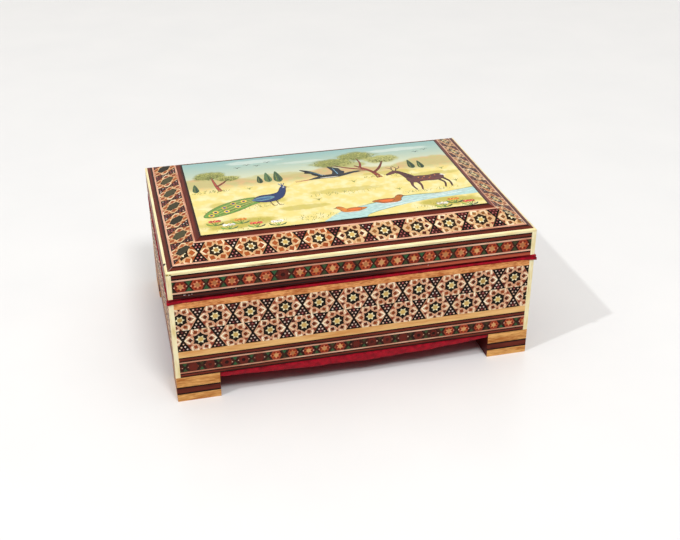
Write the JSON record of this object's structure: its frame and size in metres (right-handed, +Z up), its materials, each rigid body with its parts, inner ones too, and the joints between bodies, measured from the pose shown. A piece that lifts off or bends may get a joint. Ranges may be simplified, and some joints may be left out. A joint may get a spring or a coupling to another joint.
{
  "type": "khatam inlay box",
  "caption": "Rectangular hinged wooden box on four block feet, covered with khatam star inlay, with a raised bevelled lid.",
  "frame": {"origin": "on the surface under the feet, in the middle of the box's plan", "axes": "+X along the length, -Y towards the front that opens, +Z up"},
  "size_m": [0.161, 0.1106, 0.0702],
  "materials": {
    "core_wood": "satin",
    "light_wood": "gloss lacquer",
    "dark_wood": "gloss lacquer",
    "brown_wood": "gloss lacquer",
    "bone": "gloss",
    "star_bone": "gloss",
    "black_wood": "gloss lacquer",
    "star_band": "gloss lacquer",
    "panel": "gloss",
    "red_felt": "fuzzy",
    "red_velvet": "velvet",
    "brass": "satin"
  },
  "bodies": {
    "case": {"back_left_foot": "light_wood", "back_right_foot": "light_wood", "base_felt": "red_felt", "case_back_wall": "core_wood", "case_bottom_board": "core_wood", "case_corner_strips": "bone", "case_floor_lining": "red_velvet", "case_front_wall": "core_wood", "case_hinge_nails": "brass", "case_khatam_fillers": "black_wood", "case_khatam_star_hearts": "black_wood", "case_khatam_stars": "star_bone", "case_left_wall": "core_wood", "case_lower_bone_lines": "bone", "case_lower_dark_strips": "dark_wood", "case_lower_fillets": "light_wood", "case_right_wall": "core_wood", "case_rim_felt": "red_felt", "case_star_bands": "star_band", "case_upper_bone_lines": "bone", "case_upper_dark_strips": "dark_wood", "case_upper_fillets": "light_wood", "case_wall_linings": "red_velvet", "foot_dark_inlays": "dark_wood", "front_left_foot": "light_wood", "front_right_foot": "light_wood", "left_hinge_case_leaf": "brass", "left_hinge_pin": "brass", "right_hinge_case_leaf": "brass", "right_hinge_pin": "brass"},
    "lid": {"left_hinge_lid_leaf": "brass", "lid_back_rail": "core_wood", "lid_corner_strips": "bone", "lid_edging": "bone", "lid_front_rail": "core_wood", "lid_hinge_nails": "brass", "lid_inner_frame": "brown_wood", "lid_inner_lines": "star_bone", "lid_khatam_fillers": "black_wood", "lid_khatam_star_hearts": "black_wood", "lid_khatam_stars": "star_bone", "lid_left_rail": "core_wood", "lid_lower_bone_lines": "bone", "lid_lower_dark_strips": "dark_wood", "lid_outer_frame": "brown_wood", "lid_outer_lines": "star_bone", "lid_right_rail": "core_wood", "lid_rim_felt": "red_felt", "lid_star_bands": "star_band", "lid_top_board": "core_wood", "lid_top_lining": "red_velvet", "lid_upper_bone_lines": "bone", "lid_upper_dark_strips": "dark_wood", "lid_wall_linings": "red_velvet", "painted_panel": "panel", "right_hinge_lid_leaf": "brass"}
  },
  "joints": [
    {"name": "lid_hinge", "type": "hinge", "parent": "case", "child": "lid", "pos_m": [0, 0.05403, 0.04985], "axis": [-1, 0, 0], "range_deg": [0, 100]}
  ]
}
